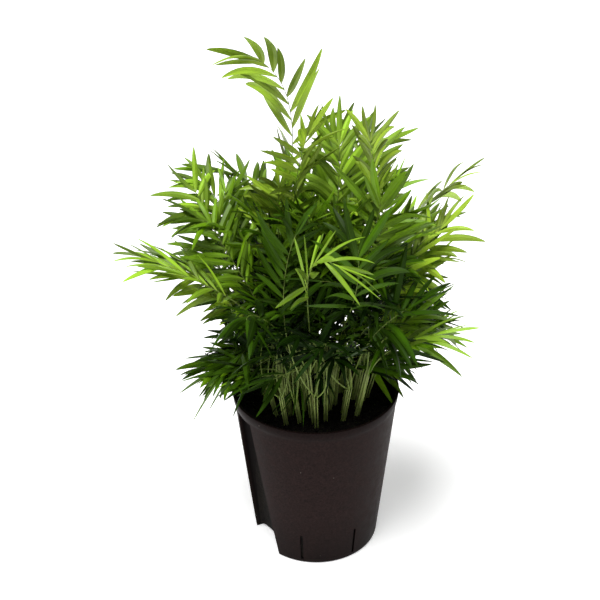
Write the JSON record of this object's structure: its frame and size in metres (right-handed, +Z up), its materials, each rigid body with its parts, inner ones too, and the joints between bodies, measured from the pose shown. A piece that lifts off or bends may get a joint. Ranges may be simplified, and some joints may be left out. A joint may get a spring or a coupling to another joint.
{
  "type": "potted parlour palm",
  "caption": "Clump of slender parlour palm stems with arching feathered fronds, in a tapered dark plastic pot with a gauge recess and foot slots",
  "frame": {"origin": "centre of the pot's flat underside", "axes": "+Z up, +X to the right and -Y towards the viewer, the pot's gauge recess at azimuth 208 degrees from +X"},
  "size_m": [0.3915, 0.3317, 0.5609],
  "materials": {
    "pot": "satin injection-moulded plastic with a fine mottled grain, brown black",
    "growing_medium": "dull, rough, moist expanded clay granules, nearly black",
    "stems": "smooth satin sheaths and petioles, pale yellow green",
    "fronds": "satin leaflets with fine lengthwise veins, yellow green above and dark green below the crown"
  },
  "bodies": {
    "root": {"pot": "pot", "growing_medium": "growing_medium", "stem_1": "stems", "stem_2": "stems", "stem_3": "stems", "stem_4": "stems", "stem_5": "stems", "stem_6": "stems", "stem_7": "stems", "stem_8": "stems", "stem_9": "stems", "stem_10": "stems", "stem_11": "stems", "stem_12": "stems", "frond_filling_1": "fronds", "frond_filling_10": "fronds", "frond_filling_13": "fronds", "frond_filling_14": "fronds", "frond_filling_15": "fronds", "frond_filling_16": "fronds", "frond_filling_17": "fronds", "frond_filling_2": "fronds", "frond_filling_3": "fronds", "frond_filling_5": "fronds", "frond_filling_6": "fronds", "frond_filling_7": "fronds", "frond_filling_8": "fronds", "frond_front_arch": "fronds", "frond_front_left": "fronds", "frond_front_low": "fronds", "frond_front_right": "fronds", "frond_front_upright": "fronds", "frond_high_left": "fronds", "frond_high_right": "fronds", "frond_inner_front": "fronds", "frond_inner_right": "fronds", "frond_long_left": "fronds", "frond_long_right": "fronds", "frond_lower_back_right": "fronds", "frond_lower_left": "fronds", "frond_lower_right": "fronds", "frond_middle_left": "fronds", "frond_middle_right": "fronds", "frond_outer_left": "fronds", "frond_outer_right": "fronds", "frond_shoulder_back_left": "fronds", "frond_shoulder_front_right": "fronds", "frond_shoulder_left": "fronds", "frond_shoulder_right": "fronds", "frond_skirt_back_left": "fronds", "frond_skirt_back_right": "fronds", "frond_skirt_left": "fronds", "frond_skirt_right": "fronds", "frond_small_front_left": "fronds", "frond_tall_left": "fronds", "frond_top_back": "fronds", "frond_top_front": "fronds", "frond_top_middle": "fronds", "frond_top_right": "fronds"}
  },
  "joints": []
}
